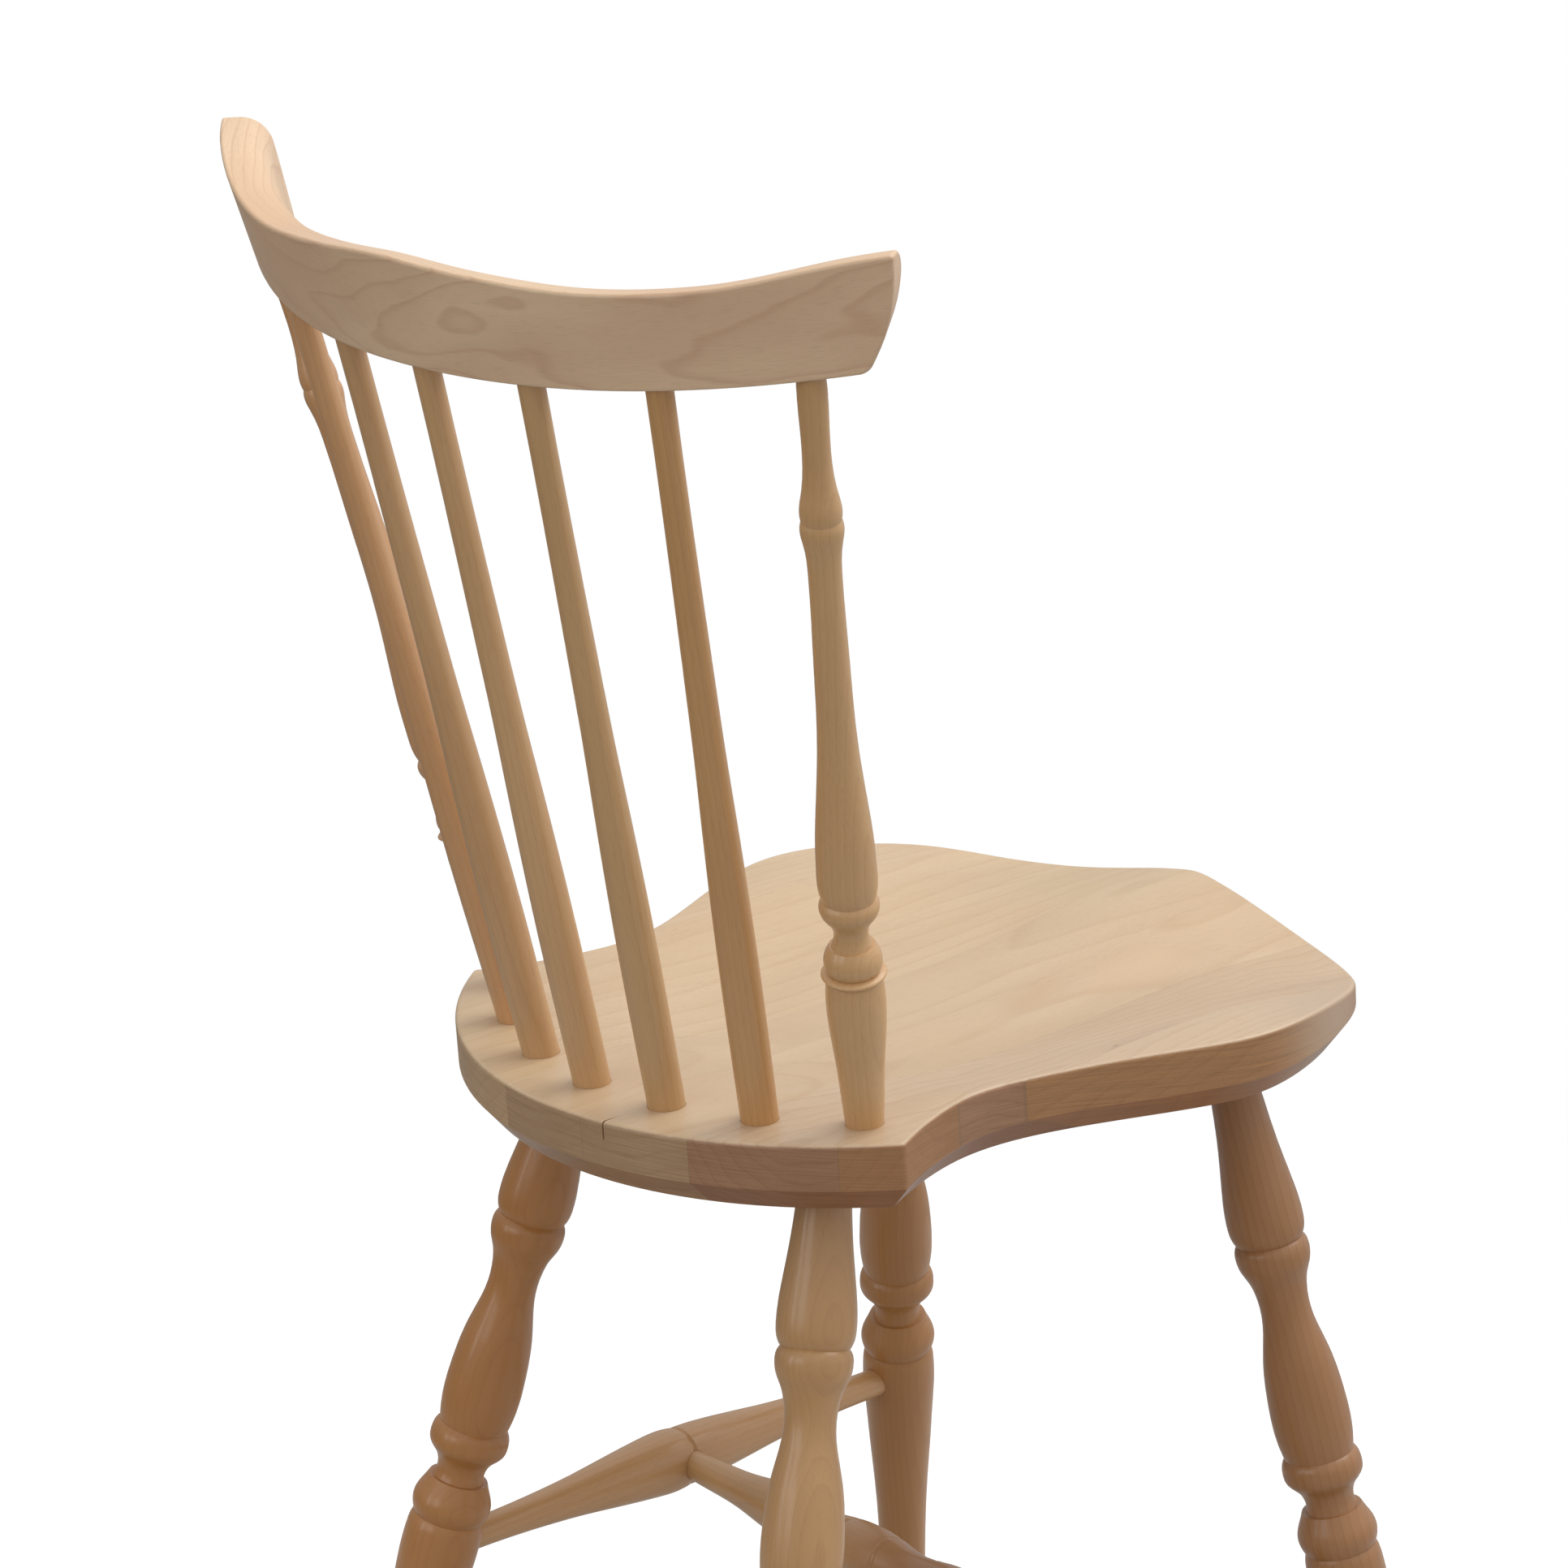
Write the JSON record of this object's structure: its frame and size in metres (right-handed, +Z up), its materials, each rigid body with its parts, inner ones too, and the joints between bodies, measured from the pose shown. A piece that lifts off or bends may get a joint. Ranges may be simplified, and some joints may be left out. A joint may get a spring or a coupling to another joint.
{
  "type": "windsor dining chair",
  "caption": "Wooden dining chair with a saddled seat glued up from boards, a spindle back under a curved crest rail, and splayed turned legs tied by an H of stretchers",
  "frame": {"origin": "on the floor, under the middle of the chair's overall box", "axes": "+Z up, -Y the way the sitter faces, +X to the right as seen from the front"},
  "size_m": [0.4956, 0.4998, 0.8581],
  "materials": {
    "seat_wood": "clear satin lacquer",
    "rail_wood": "clear satin lacquer",
    "spindle_wood": "clear satin lacquer",
    "post_wood": "clear satin lacquer",
    "leg_wood": "clear satin lacquer",
    "stretcher_wood": "clear satin lacquer"
  },
  "bodies": {
    "root": {"seat_board_1": "seat_wood", "seat_board_2": "seat_wood", "seat_board_3": "seat_wood", "seat_board_4": "seat_wood", "seat_board_5": "seat_wood", "seat_strip_left": "seat_wood", "seat_strip_right": "seat_wood", "seat_corner_left": "seat_wood", "seat_corner_right": "seat_wood", "crest_rail": "rail_wood", "spindle_1": "spindle_wood", "spindle_2": "spindle_wood", "spindle_3": "spindle_wood", "spindle_4": "spindle_wood", "spindle_5": "spindle_wood", "post_left": "post_wood", "post_right": "post_wood", "leg_front_left": "leg_wood", "leg_front_right": "leg_wood", "leg_rear_left": "leg_wood", "leg_rear_right": "leg_wood", "side_stretcher_left": "stretcher_wood", "side_stretcher_right": "stretcher_wood", "cross_stretcher": "stretcher_wood"}
  },
  "joints": []
}
